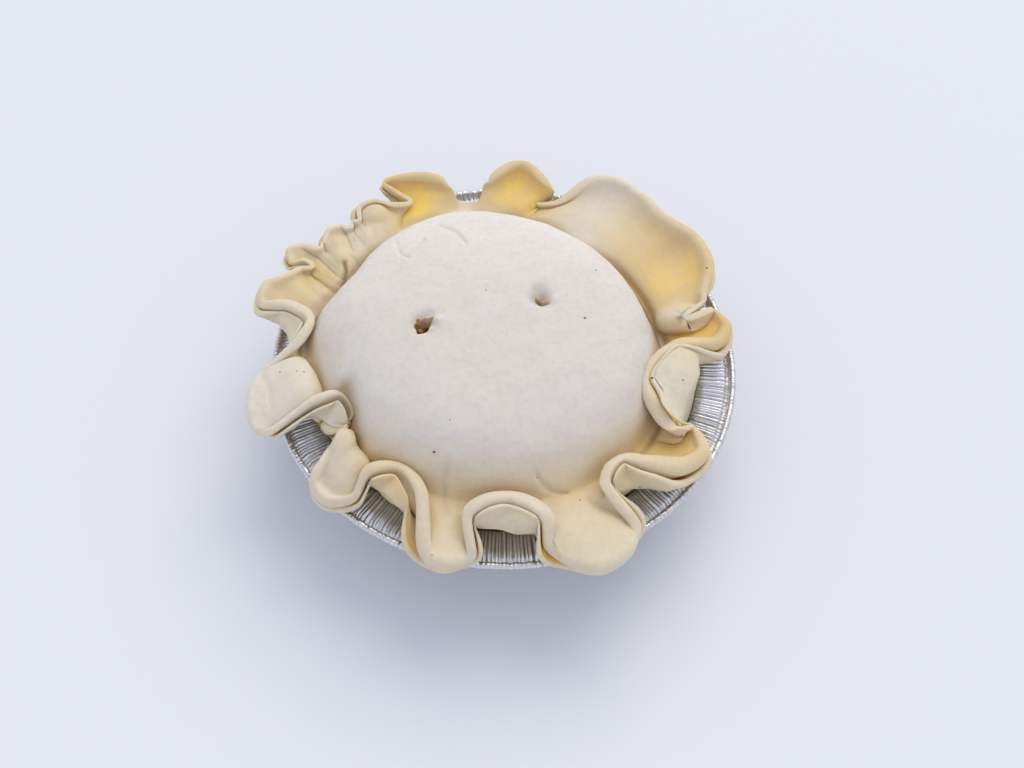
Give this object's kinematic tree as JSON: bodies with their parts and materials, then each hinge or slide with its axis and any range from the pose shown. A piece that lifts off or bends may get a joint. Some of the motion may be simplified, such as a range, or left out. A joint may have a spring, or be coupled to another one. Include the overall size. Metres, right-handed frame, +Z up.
{
  "type": "savoury pie in a foil tin",
  "caption": "Small unbaked deep pie in a round foil tin, with a high domed lid, two poked steam holes and a tall ruffled double rim.",
  "frame": {"origin": "centre of the tin's base, on the surface that it stands on", "axes": "+Z up; -Y is the side that the picture shows nearest"},
  "size_m": [0.1585, 0.1568, 0.0573],
  "materials": {
    "foil": "bright thin foil, crimped",
    "crust_dough": "raw dough, soft and slightly moist",
    "filling": "thick moist stew",
    "lid_dough": "raw dough, floured"
  },
  "bodies": {
    "root": {"foil_tin": "foil", "bottom_crust": "crust_dough", "filling": "filling", "lid": "lid_dough"}
  },
  "joints": []
}
